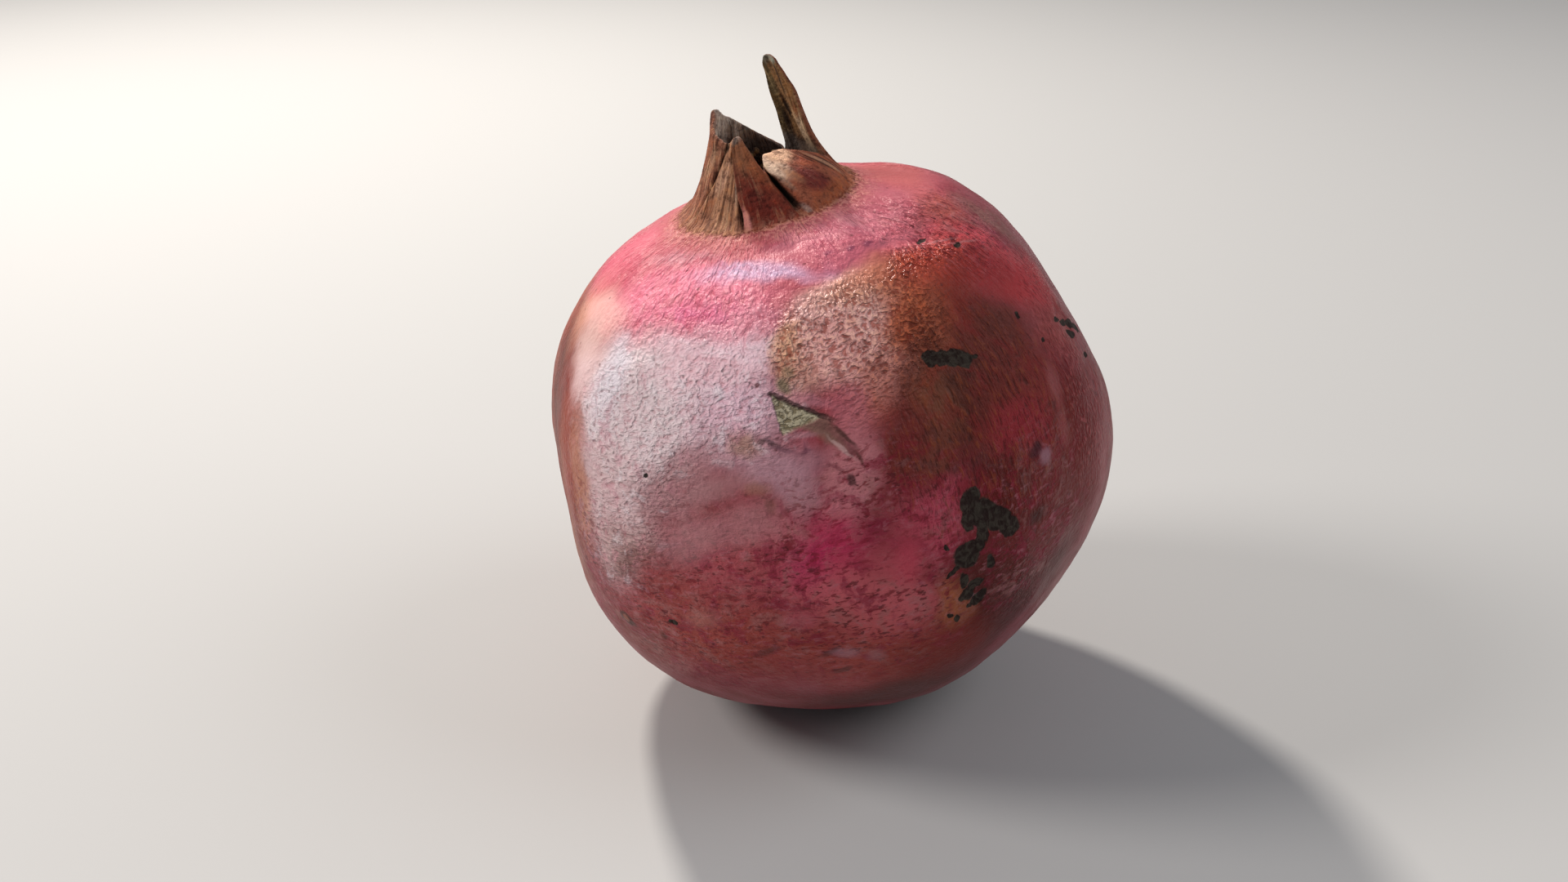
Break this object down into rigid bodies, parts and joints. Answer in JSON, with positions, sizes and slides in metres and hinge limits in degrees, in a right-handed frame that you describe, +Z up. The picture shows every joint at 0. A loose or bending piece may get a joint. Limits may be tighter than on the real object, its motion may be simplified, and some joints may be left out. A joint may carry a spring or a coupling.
{
  "type": "pomegranate",
  "caption": "Whole ripe pomegranate with leathery rind, soft flats and a dry calyx crown, leaning on a small flat spot.",
  "frame": {"origin": "middle of the small flat spot that the fruit rests on, straight below its middle", "axes": "+Z up; -Y is the fruit's front, with its pale side to the left; the crown leans 13 degrees to -X and 4 degrees to -Y"},
  "size_m": [0.0863, 0.0876, 0.0998],
  "materials": {
    "rind": "semi-gloss waxy fruit rind, crimson to coral with russet and ochre patches",
    "dry_crown": "matt dry brown husk"
  },
  "bodies": {
    "root": {"pomegranate": "rind"}
  },
  "joints": []
}
